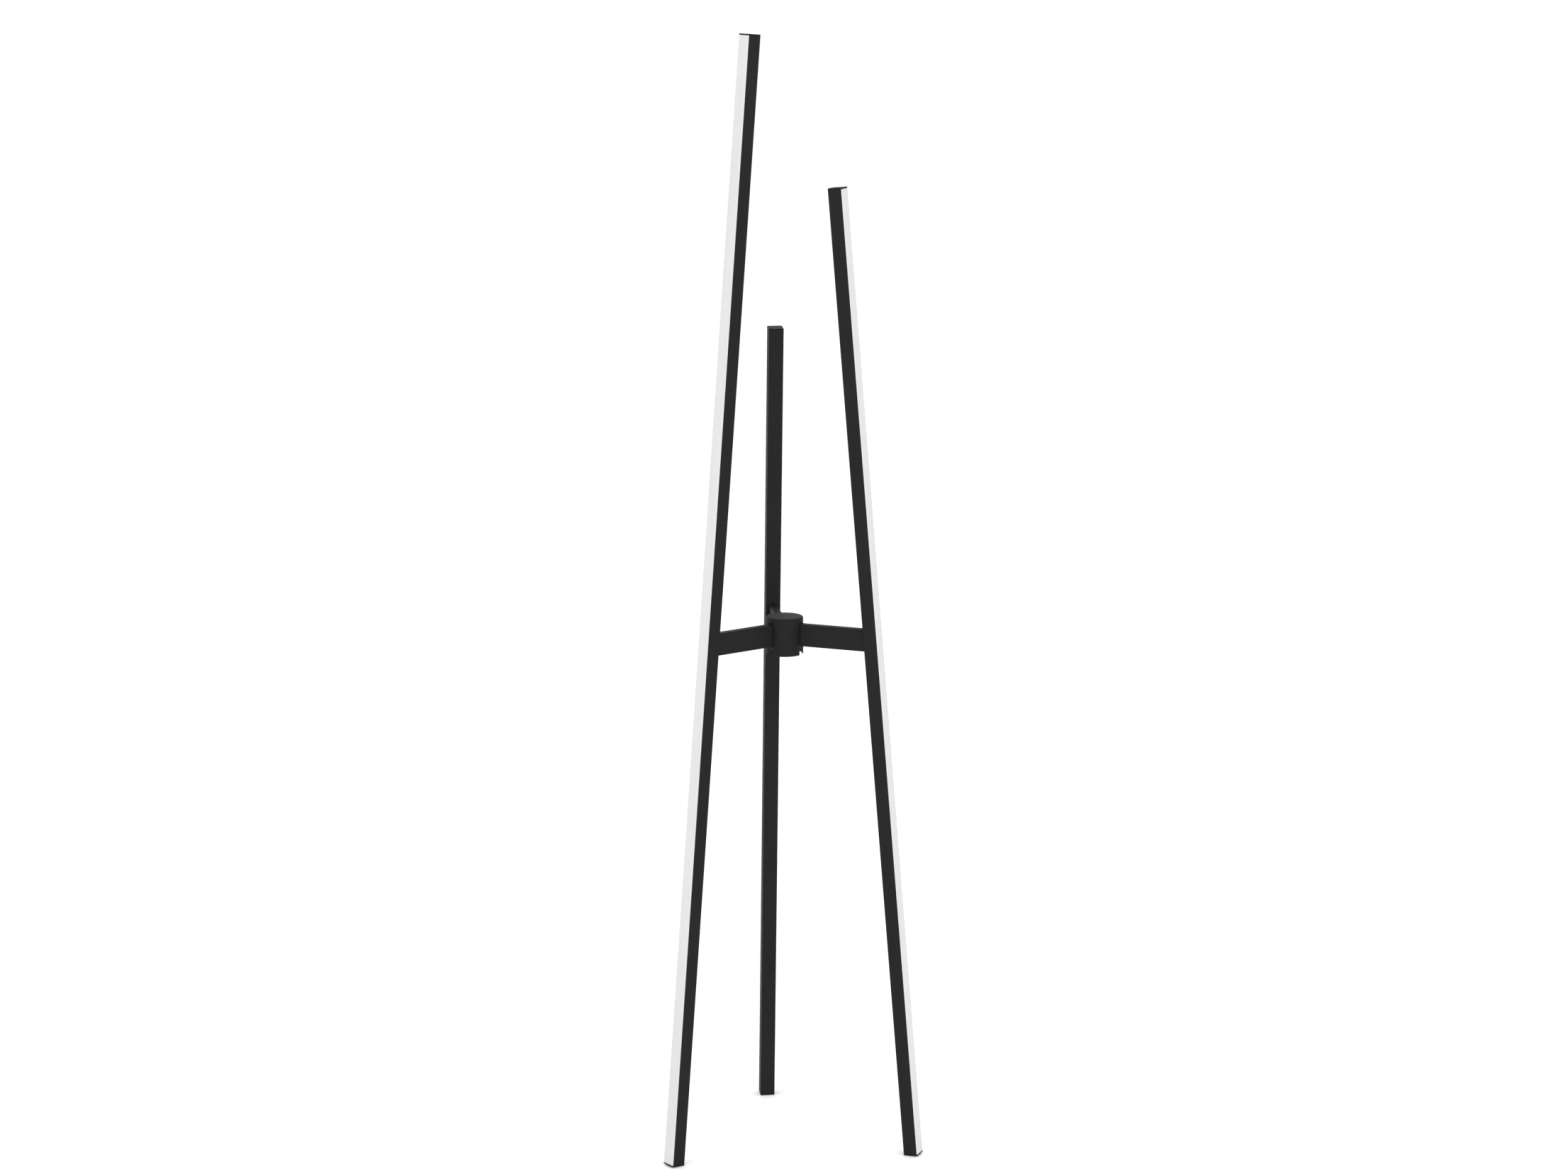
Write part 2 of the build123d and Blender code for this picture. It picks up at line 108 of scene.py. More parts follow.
# The hub's cord entry
NIPPLE_RADIUS = 5 * MM
NIPPLE_BORE = 3.5 * MM
NIPPLE_BOTTOM = 683.5 * MM
NIPPLE_TOP = 711 * MM
THREAD_PITCH = 1 * MM
THREAD_DEPTH = 0.55 * MM
THREAD_SAMPLES = 8
THREAD_CREST = 1 / 16
THREAD_FLANK = 5 / 16
NIPPLE_CHAMFER = 0.2 * MM
NUT_BOTTOM = 687.9 * MM
NUT_TOP = 690.9 * MM
NUT_FLATS = 14 * MM
NUT_BORE = 5.05 * MM
NUT_CHAMFER = radians(28)
NUT_FACE_SHARE = 0.96
NUT_LIP = 0.4 * MM
NUT_STEPS = 96
BUSHING_BORE = 2.9 * MM
BUSHING_RADIUS = 3.4 * MM
BUSHING_FLANGE = 4.9 * MM
BUSHING_BOTTOM = 682.3 * MM
BUSHING_TOP = 690 * MM
BUSHING_ROUNDING = 0.5 * MM

# How wide the softened edges of the hub's large pieces are
COVER_SOFTENING = 0.25 * MM
CORE_SOFTENING = 0.3 * MM
BLOCK_SOFTENING = 0.15 * MM

# Camera: where it stands, measured from the hub's axis and the floor
CAMERA_DISTANCE = 5.1334
CAMERA_HEIGHT = 1.79426
CAMERA_AZIMUTH = radians(7.807)
CAMERA_PITCH = radians(11.27)
CAMERA_YAW = radians(0.01)
CAMERA_LENS = 89.686
CAMERA_SENSOR = 36.0
CAMERA_REACH = 200.0

# Light: a white surround, brighter overhead, a floor that comes out white in it, and four softboxes
SKY_LOW = 0.6
SKY_HIGH = 1.35
FLOOR_ALBEDO = 0.95
FLOOR_SIZE = 300.0
FRONT_LIGHT = 8.0
BACK_LIGHT = 1.1
LEFT_LIGHT = 4.0
RIGHT_LIGHT = 2.4
SIDE_BOX = {"distance": 3.2, "height": 1.8, "width": 2.6, "tall": 0.8}

# The main finishes, and the range that noise mostly lies in
NOISE_LOW = 0.3
NOISE_HIGH = 0.7
COAT_ALBEDO = 0.009
COAT_SPECULAR = 0.16
COAT_ROUGHNESS = 0.62
COAT_SWING = 0.06
COAT_TINT = (0.97, 1.03, 1.0)
CAP_ALBEDO = 0.006
BUSHING_ALBEDO = 0.02
OPAL_ALBEDO = 0.6


def bar_matrix(bar):
    """A bar's frame: x outwards from its inner face, y across it, z along it from its lower end."""
    turn = Matrix.Rotation(radians(BAR_AZIMUTHS[bar]), 4, "Z")
    foot = Matrix.Translation((FOOT_RADIUS, 0, FOOT_LIFT))
    lean = Matrix.Rotation(-BAR_LEAN, 4, "Y")
    return Matrix.Translation((HUB_X, HUB_Y, 0)) @ turn @ foot @ lean


def hub_matrix(azimuth=0):
    """The hub's frame, on the floor under its axis, turned so that x points along an azimuth."""
    return Matrix.Translation((HUB_X, HUB_Y, 0)) @ Matrix.Rotation(radians(azimuth), 4, "Z")


# ---------------------------------------------------------------------------------------------- mesh helpers


def add_piece(name, shape, frame_matrix, material, node=None, body="stand"):
    """Makes a piece from a bmesh given in a frame. It rides on a body and may stand for a CAD node."""
    bmesh.ops.remove_doubles(shape, verts=shape.verts, dist=MERGE_DISTANCE)
    bmesh.ops.recalc_face_normals(shape, faces=shape.faces)
    mesh = bpy.data.meshes.new(name)
    shape.to_mesh(mesh)
    shape.free()
    mesh.polygons.foreach_set("use_smooth", [True] * len(mesh.polygons))
    mesh.set_sharp_from_angle(angle=SHARP_ANGLE)
    mesh.materials.append(material)
    piece = bpy.data.objects.new(name, mesh)
    bpy.context.scene.collection.objects.link(piece)
    piece.matrix_world = frame_matrix
    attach(piece, body)
    if node is not None:
        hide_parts(node)


def softened(node, frame_matrix, width):
    """A CAD node's shape in a frame, with its sharp edges rounded off."""
    shape = bmesh.new()
    shape.from_mesh(nodes[node].data)
    shape.transform(frame_matrix.inverted())
    bmesh.ops.remove_doubles(shape, verts=shape.verts, dist=MERGE_DISTANCE)
    bmesh.ops.dissolve_limit(shape, angle_limit=FLAT_ANGLE, verts=shape.verts, edges=shape.edges)
    sharp = [edge for edge in shape.edges if edge.is_manifold and edge.calc_face_angle() > SOFTENED_ANGLE]
    bmesh.ops.bevel(
        shape, geom=sharp, offset=width, segments=2, profile=0.5, affect="EDGES", clamp_overlap=True
    )
    return shape


def closed_skin(outlines):
    """Joins closed outlines with the same number of points, each to the next and the last to the first."""
    shape = bmesh.new()
    rings = [[shape.verts.new(point) for point in outline] for outline in outlines]
    for ring, following in zip(rings, rings[1:] + rings[:1]):
        for near in range(len(ring)):
            far = (near + 1) % len(ring)
            shape.faces.new((ring[near], following[near], following[far], ring[far]))
    return shape


def turned(outline_at, steps=ROUND_STEPS):
    """Turns an outline of (radius, height) points about z. It may change with the angle."""
    outlines = []
    for step in range(steps):
        angle = 2 * pi * step / steps
        outlines.append([(radius * cos(angle), radius * sin(angle), z) for radius, z in outline_at(angle)])
    return closed_skin(outlines)


def rounded_outline(corners, radius):
    """Replaces each corner of a closed outline by an arc-like curve that starts and ends a radius away."""
    points = []
    for index, (x, y) in enumerate(corners):
        corner = Vector((x, y))
        before = Vector(corners[index - 1]) - corner
        after = Vector(corners[(index + 1) % len(corners)]) - corner
        start = corner + before.normalized() * min(radius, before.length * CORNER_SHARE)
        end = corner + after.normalized() * min(radius, after.length * CORNER_SHARE)
        for step in range(CORNER_STEPS + 1):
            part = step / CORNER_STEPS
            point = start * (1 - part) ** 2 + corner * 2 * part * (1 - part) + end * part**2
            points.append((point.x, point.y))
    return points


def add_box(shape, middle, size):
    """Adds a box to a bmesh."""
    bmesh.ops.create_cube(shape, size=1, matrix=Matrix.Translation(middle) @ Matrix.Diagonal((*size, 1)))


def soften_boxes(shape, width):
    """Rounds every edge of a bmesh made of boxes."""
    bmesh.ops.bevel(shape, geom=shape.edges[:], offset=width, segments=2, profile=0.5, affect="EDGES")


def sweep(shape, path, radius, sides=8):
    """Adds a round strand along a path that runs roughly along z."""
    rings = []
    for point in path:
        ring = []
        for side in range(sides):
            angle = 2 * pi * side / sides
            corner = (point[0] + radius * cos(angle), point[1] + radius * sin(angle), point[2])
            ring.append(shape.verts.new(corner))
        rings.append(ring)
    for ring, following in zip(rings, rings[1:]):
        for near in range(sides):
            far = (near + 1) % sides
            shape.faces.new((ring[near], ring[far], following[far], following[near]))
    shape.faces.new(rings[0][::-1])
    shape.faces.new(rings[-1])


# ---------------------------------------------------------------------------------------------- node helpers


class Shader:
    """Builds one material's node tree around a Principled shader."""

    def __init__(self, name):
        self.material = bpy.data.materials.new(name)
        self.material.use_nodes = True
        self.tree = self.material.node_tree
        self.surface = self.tree.nodes["Principled BSDF"]
        self.position = self.add("ShaderNodeTexCoord").outputs["Object"]

    def add(self, kind, **settings):
        node = self.tree.nodes.new(kind)
        for key, value in settings.items():
            setattr(node, key, value)
        return node

    def link(self, source, target):
        self.tree.links.new(source, target)

    def set(self, **values):
        """Sets the surface's own sockets: underscores stand for spaces."""
        for key, value in values.items():
            self.surface.inputs[key.replace("_", " ")].default_value = value

    def scaled_position(self, scale):
        """The position, stretched by a factor for each axis."""
        mapping = self.add("ShaderNodeMapping")
        mapping.inputs["Scale"].default_value = scale
        self.link(self.position, mapping.inputs["Vector"])
        return mapping.outputs["Vector"]

    def noise(self, size, detail=3.0, roughness=0.55, stretch=(1, 1, 1)):
        """Noise with features of a size in metres, drawn out along an axis by a stretch above 1."""
        vector = self.scaled_position([1 / (size * s) for s in stretch])
        noise = self.add("ShaderNodeTexNoise")
        noise.inputs["Scale"].default_value = 1.0
        noise.inputs["Detail"].default_value = detail
        noise.inputs["Roughness"].default_value = roughness
        self.link(vector, noise.inputs["Vector"])
        return noise.outputs["Fac"]

    def cells(self, size):
        """Cells of a size in metres, for grain and spatter."""
        vector = self.scaled_position([1 / size] * 3)
        cells = self.add("ShaderNodeTexVoronoi")
        cells.inputs["Scale"].default_value = 1.0
        self.link(vector, cells.inputs["Vector"])
        return cells.outputs["Distance"]

    def spread(self, source, low, high):
        """Maps a factor, over the stretch where noise mostly lies, to a range of values."""
        spread = self.add("ShaderNodeMapRange")
        spread.inputs["From Min"].default_value = NOISE_LOW
        spread.inputs["From Max"].default_value = NOISE_HIGH
        spread.inputs["To Min"].default_value = low
        spread.inputs["To Max"].default_value = high
        self.link(source, spread.inputs["Value"])
        return spread.outputs["Result"]

    def colour(self, source, low, high):
        """Moves the surface's colour between two by a factor."""
        mix = self.add("ShaderNodeMix", data_type="RGBA")
        mix.inputs["A"].default_value = low
        mix.inputs["B"].default_value = high
        self.link(self.spread(source, 0, 1), mix.inputs["Factor"])
        self.link(mix.outputs["Result"], self.surface.inputs["Base Color"])

    def roughness(self, source, low, high):
        """Moves the surface's roughness between two values by a factor."""
        self.link(self.spread(source, low, high), self.surface.inputs["Roughness"])

    def bump(self, *layers):
        """Stacks bumps, each a height source, its depth in metres and its strength."""
        normal = None
        for source, depth, strength in layers:
            bump = self.add("ShaderNodeBump")
            bump.inputs["Strength"].default_value = strength
            bump.inputs["Distance"].default_value = depth
            self.link(source, bump.inputs["Height"])
            if normal is not None:
                self.link(normal, bump.inputs["Normal"])
            normal = bump.outputs["Normal"]
        self.link(normal, self.surface.inputs["Normal"])


def grey(value, tint=(1.0, 1.0, 1.0)):
    return (value * tint[0], value * tint[1], value * tint[2], 1.0)


# ------------------------------------------------------------------------------------------------- materials


def powder_coat(name, value):
    """Matt black powder coat: a fine pebbled skin with slow changes in tone and sheen."""
    shader = Shader(name)
    shader.set(IOR=1.45, Specular_IOR_Level=COAT_SPECULAR)
    slow = shader.noise(90 * MM, detail=2.0)
    pebbles = shader.noise(0.45 * MM, detail=2.0)
    spatter = shader.cells(0.7 * MM)
    shader.colour(slow, grey(value * 0.9, COAT_TINT), grey(value * 1.12, COAT_TINT))
    shader.roughness(pebbles, COAT_ROUGHNESS - COAT_SWING, COAT_ROUGHNESS + COAT_SWING)
    shader.bump((spatter, 0.04 * MM, 0.4), (pebbles, 0.05 * MM, 0.6))
    return shader.material


def moulded_black(name, value):
    """Black moulded plastic with a spark-eroded texture."""
    shader = Shader(name)
    shader.set(IOR=1.5, Specular_IOR_Level=0.1)
    grain = shader.noise(0.25 * MM, detail=4.0, roughness=0.7)
    slow = shader.noise(12 * MM)
    shader.colour(slow, grey(value * 0.85), grey(value * 1.15))
    shader.roughness(grain, 0.5, 0.7)
    shader.bump((grain, 0.02 * MM, 0.4))
    return shader.material


def opal_acrylic(name):
    """Opal extruded acrylic: milky and satin, with faint lines along it from the die."""
    shader = Shader(name)
    shader.set(IOR=1.49, Specular_IOR_Level=0.2, Subsurface_Weight=0.35, Subsurface_Scale=1.5 * MM)
    shader.surface.inputs["Subsurface Radius"].default_value = (1.0, 0.95, 0.9)
    milk = shader.noise(25 * MM, detail=2.0, stretch=(1, 1, 8))
    lines = shader.noise(0.35 * MM, detail=2.0, stretch=(1, 1, 400))
    haze = shader.noise(0.15 * MM, detail=2.0)
    low = grey(OPAL_ALBEDO * 0.98, (1.0, 1.0, 0.985))
    high = grey(OPAL_ALBEDO * 1.02, (1.0, 1.0, 0.995))
    shader.colour(milk, low, high)
    shader.roughness(haze, 0.45, 0.55)
    shader.bump((lines, 0.01 * MM, 0.15), (haze, 0.004 * MM, 0.2))
    return shader.material


def rubber(name):
    """Black rubber with a dusty bloom."""
    shader = Shader(name)
    shader.set(IOR=1.5, Specular_IOR_Level=0.2)
    bloom = shader.noise(3 * MM, detail=4.0)
    grain = shader.noise(0.2 * MM, detail=3.0)
    shader.colour(bloom, grey(0.016), grey(0.034))
    shader.roughness(bloom, 0.7, 0.88)
    shader.bump((grain, 0.03 * MM, 0.4))
    return shader.material


def coated_casting(name):
    """A tumbled casting under a thin black coat: dimpled, with a soft uneven sheen."""
    shader = Shader(name)
    shader.set(IOR=1.5, Specular_IOR_Level=0.3)
    dimples = shader.cells(1.1 * MM)
    grain = shader.noise(0.3 * MM, detail=4.0)
    slow = shader.noise(9 * MM, detail=3.0)
    shader.colour(slow, grey(0.010), grey(0.018))
    shader.roughness(grain, 0.4, 0.6)
    shader.bump((dimples, 0.06 * MM, 0.35), (grain, 0.02 * MM, 0.3))
    return shader.material


def drawn_aluminium(name):
    """Mill-finish aluminium with lines along its length."""
    shader = Shader(name)
    shader.set(Metallic=1.0)
    lines = shader.noise(0.25 * MM, detail=3.0, stretch=(1, 1, 300))
    slow = shader.noise(30 * MM)
    shader.colour(slow, grey(0.68), grey(0.78))
    shader.roughness(lines, 0.22, 0.4)
    shader.bump((lines, 0.01 * MM, 0.3))
    return shader.material


def zinc_plate(name, tint=(1.0, 1.0, 1.0)):
    """Zinc-plated steel: bright and slightly cloudy, with fine turning marks."""
    shader = Shader(name)
    shader.set(Metallic=1.0)
    cloud = shader.noise(2.5 * MM, detail=3.0)
    marks = shader.noise(0.12 * MM, detail=2.0, stretch=(6, 6, 1))
    shader.colour(cloud, grey(0.5, tint), grey(0.68, tint))
    shader.roughness(cloud, 0.24, 0.42)
    shader.bump((marks, 0.008 * MM, 0.25))
    return shader.material


def natural_nylon(name):
    """Natural nylon: off-white, waxy and slightly see-through."""
    shader = Shader(name)
    shader.set(IOR=1.53, Specular_IOR_Level=0.35, Subsurface_Weight=0.3, Subsurface_Scale=1.2 * MM)
    slow = shader.noise(6 * MM, detail=2.0)
    grain = shader.noise(0.2 * MM, detail=3.0)
    warm = (1.0, 0.985, 0.93)
    shader.colour(slow, grey(0.62, warm), grey(0.72, warm))
    shader.roughness(grain, 0.38, 0.52)
    shader.bump((grain, 0.01 * MM, 0.3))
    return shader.material


def solder_mask(name):
    """A circuit board's white solder mask."""
    shader = Shader(name)
    shader.set(IOR=1.5, Coat_Weight=0.3, Coat_Roughness=0.15)
    weave = shader.noise(0.6 * MM, detail=2.0)
    slow = shader.noise(15 * MM)
    shader.colour(slow, grey(0.78), grey(0.85, (0.99, 1.0, 0.98)))
    shader.roughness(weave, 0.35, 0.5)
    shader.bump((weave, 0.01 * MM, 0.2))
    return shader.material


def phosphor_silicone(name):
    """Yellow phosphor in soft silicone."""
    shader = Shader(name)
    shader.set(IOR=1.41, Specular_IOR_Level=0.5, Subsurface_Weight=0.25, Subsurface_Scale=0.6 * MM)
    clumps = shader.noise(0.8 * MM, detail=4.0)
    shader.colour(clumps, (0.72, 0.48, 0.07, 1.0), (0.86, 0.64, 0.14, 1.0))
    shader.roughness(clumps, 0.25, 0.4)
    shader.bump((clumps, 0.01 * MM, 0.3))
    return shader.material


def insulation(name, colour):
    """Soft PVC wire insulation."""
    shader = Shader(name)
    shader.set(IOR=1.52, Specular_IOR_Level=0.4)
    scuffs = shader.noise(2 * MM, detail=4.0)
    dull = tuple(channel * 0.7 for channel in colour[:3]) + (1.0,)
    shader.colour(scuffs, dull, colour)
    shader.roughness(scuffs, 0.35, 0.5)
    shader.bump((scuffs, 0.01 * MM, 0.3))
    return shader.material


def tinned_copper(name):
    """Tin over copper, dull and slightly lumpy."""
    shader = Shader(name)
    shader.set(Metallic=1.0)
    lumps = shader.noise(0.4 * MM, detail=3.0)
    shader.colour(lumps, (0.62, 0.55, 0.47, 1.0), (0.78, 0.76, 0.72, 1.0))
    shader.roughness(lumps, 0.25, 0.45)
    shader.bump((lumps, 0.02 * MM, 0.4))
    return shader.material


def chip_ceramic(name):
    """The dark glazed ceramic of a chip resistor."""
    shader = Shader(name)
    shader.set(IOR=1.6)
    specks = shader.noise(0.2 * MM, detail=3.0)
    shader.colour(specks, grey(0.012), grey(0.03))
    shader.roughness(specks, 0.25, 0.4)
    shader.bump((specks, 0.005 * MM, 0.3))
    return shader.material


coat = powder_coat("powder_coat_black", COAT_ALBEDO)
opal = opal_acrylic("opal_acrylic")
cap_plastic = moulded_black("cap_plastic", CAP_ALBEDO)
pad_rubber = rubber("pad_rubber")
bushing_plastic = moulded_black("bushing_plastic", BUSHING_ALBEDO)
core_metal = coated_casting("black_casting")
carrier_metal = drawn_aluminium("mill_aluminium")
zinc = zinc_plate("zinc_plate")
nipple_metal = zinc_plate("yellow_zinc_plate", (1.0, 0.93, 0.74))
nylon = natural_nylon("natural_nylon")
mask = solder_mask("white_solder_mask")
phosphor = phosphor_silicone("phosphor_silicone")
red_skin = insulation("red_insulation", (0.42, 0.02, 0.02, 1.0))
black_skin = insulation("black_insulation", (0.03, 0.03, 0.03, 1.0))
copper = tinned_copper("tinned_copper")
ceramic = chip_ceramic("chip_ceramic")

NODE_MATERIALS = {
    "channel": coat,
    "diffuser": opal,
    "top_cap": cap_plastic,
    "bottom_cap": cap_plastic,
    "foot_pad": pad_rubber,
    "led_carrier": carrier_metal,
    "led_board": mask,
    "light_strip": phosphor,
    "arm": coat,
    "arm_insert": zinc,
    "bar_screws": zinc,
    "lead_bushing": bushing_plastic,
    "lead": black_skin,
    "hub_cover": coat,
    "hub_core": core_metal,
    "hub_ring": pad_rubber,
    "arm_lock_screws": zinc,
    "cord_nipple": nipple_metal,
    "nipple_nut": zinc,
    "cord_bushing": bushing_plastic,
    "terminal_block": nylon,
    "terminal_screws": zinc,
    "terminal_block_screw": zinc,
}


def kind_of(node):
    """A node's name without the bar that it belongs to."""
    first, _, rest = node.partition("_")
    return rest if first in BAR_AZIMUTHS else node


for name, node in nodes.items():
    node.data.materials.clear()
    node.data.materials.append(NODE_MATERIALS[kind_of(name)])


# --------------------------------------------------------------------------------------------------- pieces


def foot_pad(bar):
    """A rubber foot, cut level with the floor, with a rounded edge and two rings moulded into its face."""

    def floor_level(x):
        return -(FOOT_LIFT + x * sin(BAR_LEAN)) / cos(BAR_LEAN)

    def groove(radius):
        """How deep the rings are at a radius."""
        nearest = min(abs(radius - ring) for ring in PAD_GROOVE_RADII)
        return PAD_GROOVE_DEPTH * max(0, 1 - (2 * nearest / PAD_GROOVE_WIDTH) ** 2)

    face_steps = PAD_FACE_STEPS - PAD_EDGE_STEPS
    radii = [PAD_RADIUS * step / PAD_FACE_STEPS for step in range(face_steps)]
    outlines = []
    for step in range(ROUND_STEPS):
        angle = 2 * pi * step / ROUND_STEPS

        def point(radius, lift):
            x = BAR_SIDE / 2 + radius * cos(angle)
            return (x, radius * sin(angle), floor_level(x) + lift)

        outline = [point(radius, groove(radius)) for radius in radii]
        for turn in PAD_EDGE_TURNS:
            inset = PAD_EDGE * (1 - sin(radians(turn)))
            outline.append(point(PAD_RADIUS - inset, PAD_EDGE * (1 - cos(radians(turn)))))
        outline.append((BAR_SIDE / 2 + PAD_RADIUS * cos(angle), PAD_RADIUS * sin(angle), PAD_TOP))
        outline.append((BAR_SIDE / 2, 0, PAD_TOP))
        outlines.append(outline)
    node = f"{bar}_foot_pad"
    shape = closed_skin(outlines)
    # The mesh is put in the lamp's frame here, so that its own box ends at the floor as the rubber does.
    shape.transform(bar_matrix(bar))
    add_piece(f"{node}_rubber", shape, Matrix.Identity(4), pad_rubber, node)


def led_board(bar):
    """The circuit board, with a chip resistor and two tinned pads beside the strip in every segment."""
    length = BAR_LENGTHS[bar]
    frame_matrix = bar_matrix(bar)
    board = bmesh.new()
    thickness = BOARD_FACE - BOARD_BACK
    board_length = length - 2 * BOARD_END_GAP
    add_box(board, ((BOARD_BACK + BOARD_FACE) / 2, 0, length / 2), (thickness, BOARD_WIDTH, board_length))
    soften_boxes(board, BOARD_SOFTENING)
    resistors = bmesh.new()
    pads = bmesh.new()
    for index in range(1, int(board_length / BOARD_SEGMENT)):
        z = BOARD_END_GAP + index * BOARD_SEGMENT
        side = 1 if index % 2 else -1
        place = (BOARD_FACE + RESISTOR_SIZE[0] / 2, side * RESISTOR_OFFSET, z + BOARD_SEGMENT / 2)
        add_box(resistors, place, RESISTOR_SIZE)
        for end in (-1, 1):
            add_box(pads, (BOARD_FACE + PAD_SIZE[0] / 2, end * PAD_OFFSET, z), PAD_SIZE)
    soften_boxes(resistors, RESISTOR_SOFTENING)
    soften_boxes(pads, TINNED_PAD_SOFTENING)
    node = f"{bar}_led_board"
    add_piece(f"{node}_mask", board, frame_matrix, mask, node)
    add_piece(f"{bar}_chip_resistors", resistors, frame_matrix, ceramic)
    add_piece(f"{bar}_board_pads", pads, frame_matrix, copper)


def lead(bar):
    """The red and the black wire in an arm, each with its bare strands in the terminal block."""
    end = FOOT_RADIUS - (LEAD_Z - FOOT_LIFT) * tan(BAR_LEAN) + BOARD_BACK
    node = f"{bar}_lead"
    for side, colour, skin in ((-1, "black", black_skin), (1, "red", red_skin)):
        place = Matrix.Translation((0, side * LEAD_SPACING / 2, LEAD_Z)) @ Matrix.Rotation(pi / 2, 4, "Y")
        frame_matrix = hub_matrix(BAR_AZIMUTHS[bar]) @ place
        corners = ((0, LEAD_SKIN_START), (LEAD_RADIUS, LEAD_SKIN_START), (LEAD_RADIUS, end), (0, end))
        outline = rounded_outline(corners, LEAD_END_ROUNDING)
        wire = turned(lambda angle, outline=outline: outline, steps=LEAD_STEPS)
        add_piece(f"{node}_{colour}", wire, frame_matrix, skin, node)
        strands = bmesh.new()
        for strand in range(OUTER_STRANDS + 1):
            path = []
            for step in range(STRAND_STEPS + 1):
                z = LEAD_INNER_END + (LEAD_SKIN_START + LEAD_RADIUS - LEAD_INNER_END) * step / STRAND_STEPS
                angle = 2 * pi * (strand / OUTER_STRANDS + z / STRAND_TWIST)
                reach = 2 * STRAND_RADIUS if strand < OUTER_STRANDS else 0
                path.append((reach * cos(angle), reach * sin(angle), z))
            sweep(strands, path, STRAND_RADIUS)
        add_piece(f"{node}_{colour}_strands", strands, frame_matrix, copper)


def cord_nipple():
    """The hollow tube with a rolled thread along it."""
    samples = int((NIPPLE_TOP - NIPPLE_BOTTOM) / THREAD_PITCH * THREAD_SAMPLES)
    length = NIPPLE_TOP - NIPPLE_BOTTOM
    heights = [NIPPLE_BOTTOM + length * step / samples for step in range(samples + 1)]

    def outline(angle):
        points = [(NIPPLE_BORE, NIPPLE_BOTTOM + NIPPLE_CHAMFER)]
        points.append((NIPPLE_BORE + NIPPLE_CHAMFER, NIPPLE_BOTTOM))
        for z in heights:
            turn = (z / THREAD_PITCH - angle / (2 * pi)) % 1
            from_crest = min(turn, 1 - turn)
            depth = THREAD_DEPTH * min(1, max(0, (from_crest - THREAD_CREST) / THREAD_FLANK))
            from_end = min(z - NIPPLE_BOTTOM, NIPPLE_TOP - z)
            points.append((min(NIPPLE_RADIUS - depth, NIPPLE_RADIUS - THREAD_DEPTH + from_end), z))
        points.append((NIPPLE_BORE + NIPPLE_CHAMFER, NIPPLE_TOP))
        points.append((NIPPLE_BORE, NIPPLE_TOP - NIPPLE_CHAMFER))
        return points

    shape = turned(outline)
    add_piece("cord_nipple_thread", shape, hub_matrix(), nipple_metal, "cord_nipple")


def nipple_nut():
    """The hexagonal nut, chamfered at its corners and at its thread."""
    face_radius = NUT_FLATS / 2 * NUT_FACE_SHARE

    def outline(angle):
        corner_radius = NUT_FLATS / 2 / cos(angle % (pi / 3) - pi / 6)
        drop = (corner_radius - face_radius) * tan(NUT_CHAMFER)
        return [
            (NUT_BORE, NUT_BOTTOM + NUT_LIP),
            (NUT_BORE + NUT_LIP, NUT_BOTTOM),
            (face_radius, NUT_BOTTOM),
            (corner_radius, NUT_BOTTOM + drop),
            (corner_radius, NUT_TOP - drop),
            (face_radius, NUT_TOP),
            (NUT_BORE + NUT_LIP, NUT_TOP),
            (NUT_BORE, NUT_TOP - NUT_LIP),
        ]

    shape = turned(outline, NUT_STEPS)
    add_piece("nipple_nut_hexagon", shape, hub_matrix(), zinc, "nipple_nut")


def cord_bushing():
    """The plastic edge bushing, rounded all over so that it doesn't cut the cord."""
    corners = (
        (BUSHING_BORE, BUSHING_TOP),
        (BUSHING_RADIUS, BUSHING_TOP),
        (BUSHING_RADIUS, NIPPLE_BOTTOM),
        (BUSHING_FLANGE, NIPPLE_BOTTOM),
        (BUSHING_FLANGE, BUSHING_BOTTOM),
        (BUSHING_BORE, BUSHING_BOTTOM),
    )
    outline = rounded_outline(corners, BUSHING_ROUNDING)
    shape = turned(lambda angle: outline)
    hub = hub_matrix()
    add_piece("cord_bushing_moulding", shape, hub, bushing_plastic, "cord_bushing")


def softened_hub_pieces():
    """The cover, the core and the terminal block, with their sharp edges rounded off."""
    hub = hub_matrix()
    cover = softened("hub_cover", hub, COVER_SOFTENING)
    add_piece("hub_cover_shell", cover, hub, coat, "hub_cover", "cover")
    core = softened("hub_core", hub, CORE_SOFTENING)
    add_piece("hub_core_casting", core, hub, core_metal, "hub_core")
    block = softened("terminal_block", hub, BLOCK_SOFTENING)
    add_piece("terminal_block_moulding", block, hub, nylon, "terminal_block")


for bar in BAR_AZIMUTHS:
    foot_pad(bar)
    led_board(bar)
    lead(bar)
cord_nipple()
nipple_nut()
cord_bushing()
softened_hub_pieces()


# --------------------------------------------------------------------------------------------------- studio


def studio_floor():
    """A wide pale floor."""
    mesh = bpy.data.meshes.new("studio_floor")
    half = FLOOR_SIZE / 2
    corners = [(-half, -half, 0), (half, -half, 0), (half, half, 0), (-half, half, 0)]
    mesh.from_pydata(corners, [], [(0, 1, 2, 3)])
    floor = bpy.data.objects.new("studio_floor", mesh)
    bpy.context.scene.collection.objects.link(floor)
    shader = Shader("floor_paint")
    shader.set(Specular_IOR_Level=0.0)
    slow = shader.noise(0.8, detail=2.0)
    shader.colour(slow, grey(FLOOR_ALBEDO * 0.99), grey(FLOOR_ALBEDO * 1.01))
    shader.roughness(slow, 0.85, 0.95)
    mesh.materials.append(shader.material)


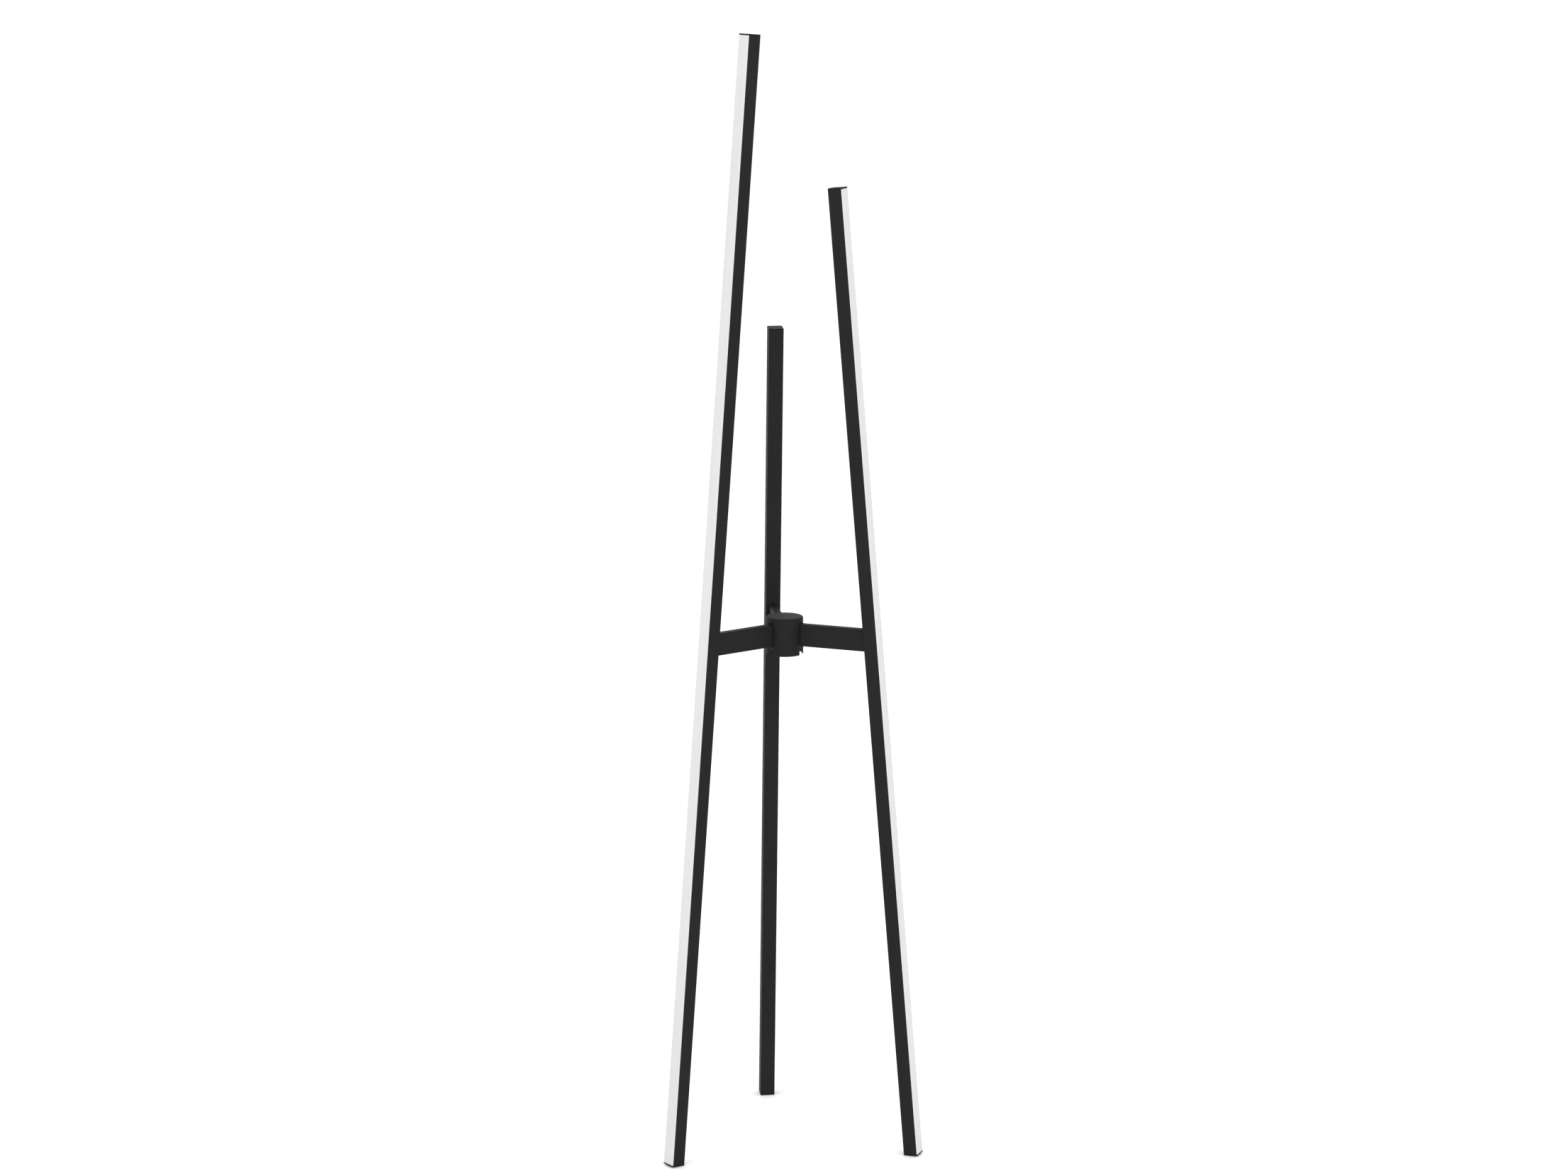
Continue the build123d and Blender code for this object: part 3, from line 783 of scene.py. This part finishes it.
def studio_sky():
    """White light from all round, brighter overhead than at the horizon."""
    world = bpy.data.worlds.new("studio_sky")
    world.use_nodes = True
    tree = world.node_tree
    background = tree.nodes["Background"]
    background.inputs["Color"].default_value = (1, 1, 1, 1)
    direction = tree.nodes.new("ShaderNodeTexCoord")
    split = tree.nodes.new("ShaderNodeSeparateXYZ")
    rise = tree.nodes.new("ShaderNodeMapRange")
    rise.inputs["To Min"].default_value = SKY_LOW
    rise.inputs["To Max"].default_value = SKY_HIGH
    tree.links.new(direction.outputs["Generated"], split.inputs["Vector"])
    tree.links.new(split.outputs["Z"], rise.inputs["Value"])
    tree.links.new(rise.outputs["Result"], background.inputs["Strength"])
    bpy.context.scene.world = world


def softbox(name, azimuth, distance, height, width, tall, radiance):
    """A rectangular light at an azimuth round the hub, facing the middle of the lamp."""
    data = bpy.data.lights.new(name, "AREA")
    data.shape = "RECTANGLE"
    data.size = width
    data.size_y = tall
    data.energy = radiance * pi * width * tall
    light = bpy.data.objects.new(name, data)
    bpy.context.scene.collection.objects.link(light)
    turn = radians(azimuth)
    light.location = (HUB_X + distance * cos(turn), HUB_Y + distance * sin(turn), height)
    aim = Vector((HUB_X, HUB_Y, LAMP_MIDDLE)) - light.location
    light.rotation_euler = aim.to_track_quat("-Z", "Y").to_euler()


def camera():
    """The camera, a long lens a little above the lamp's top, looking slightly down."""
    data = bpy.data.cameras.new("camera")
    data.lens = CAMERA_LENS
    data.sensor_width = CAMERA_SENSOR
    data.clip_end = CAMERA_REACH
    eye = bpy.data.objects.new("camera", data)
    bpy.context.scene.collection.objects.link(eye)
    away = Vector((-sin(CAMERA_AZIMUTH), -cos(CAMERA_AZIMUTH), 0))
    eye.location = Vector((HUB_X, HUB_Y, CAMERA_HEIGHT)) + CAMERA_DISTANCE * away
    eye.rotation_euler = (pi / 2 - CAMERA_PITCH, 0, CAMERA_YAW - CAMERA_AZIMUTH)
    bpy.context.scene.camera = eye


studio_floor()
studio_sky()
softbox("front_softbox", azimuth=278, distance=4.5, height=1.2, width=1.6, tall=1.0, radiance=FRONT_LIGHT)
softbox("back_softbox", azimuth=85, distance=4.5, height=2.2, width=3.0, tall=1.6, radiance=BACK_LIGHT)
softbox("left_softbox", azimuth=217, radiance=LEFT_LIGHT, **SIDE_BOX)
softbox("right_softbox", azimuth=338, radiance=RIGHT_LIGHT, **SIDE_BOX)
camera()
bpy.context.scene.view_settings.view_transform = "Standard"
